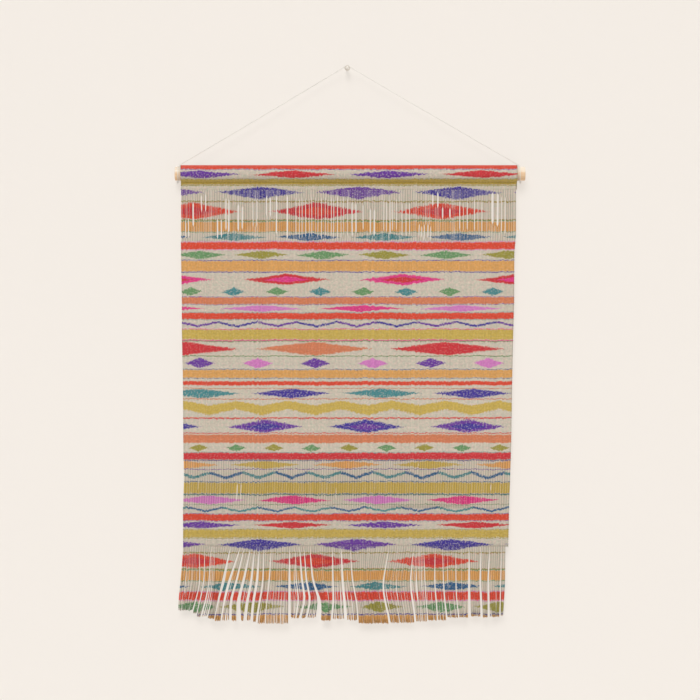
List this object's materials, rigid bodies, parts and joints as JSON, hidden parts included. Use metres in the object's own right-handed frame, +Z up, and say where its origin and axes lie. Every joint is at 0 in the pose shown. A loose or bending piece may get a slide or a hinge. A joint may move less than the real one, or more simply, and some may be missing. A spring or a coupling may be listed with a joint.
{
  "type": "textile wall hanging with dowel, hanging cord and wall peg",
  "caption": "Flat woven cotton wall hanging: sleeve over a round wooden dowel, open warp band, printed panel and long warp fringe, hung by a thin cord from a turned wall peg.",
  "frame": {"origin": "middle of the wall peg's flat back face, which lies on the wall", "axes": "+Y into the wall, +Z up, +X to the right of someone who faces the hanging"},
  "size_m": [0.4167, 0.0201, 0.6675],
  "materials": {
    "printed_cloth": "matt plain-woven cotton printed in reds, oranges, violets, blues and greens on a sand ground",
    "fringe_yarn": "loose cotton warp yarns that carry the print on",
    "dowel_wood": "bare pale wood, sanded",
    "peg_wood": "pale turned wood, satin",
    "cotton_cord": "thin twisted cotton cord, off-white"
  },
  "bodies": {
    "root": {"woven_panel": "printed_cloth", "fringe": "fringe_yarn", "dowel": "dowel_wood", "wall_peg": "peg_wood", "hanger_cord": "cotton_cord", "cord_loop_left": "cotton_cord", "cord_loop_right": "cotton_cord"}
  },
  "joints": []
}
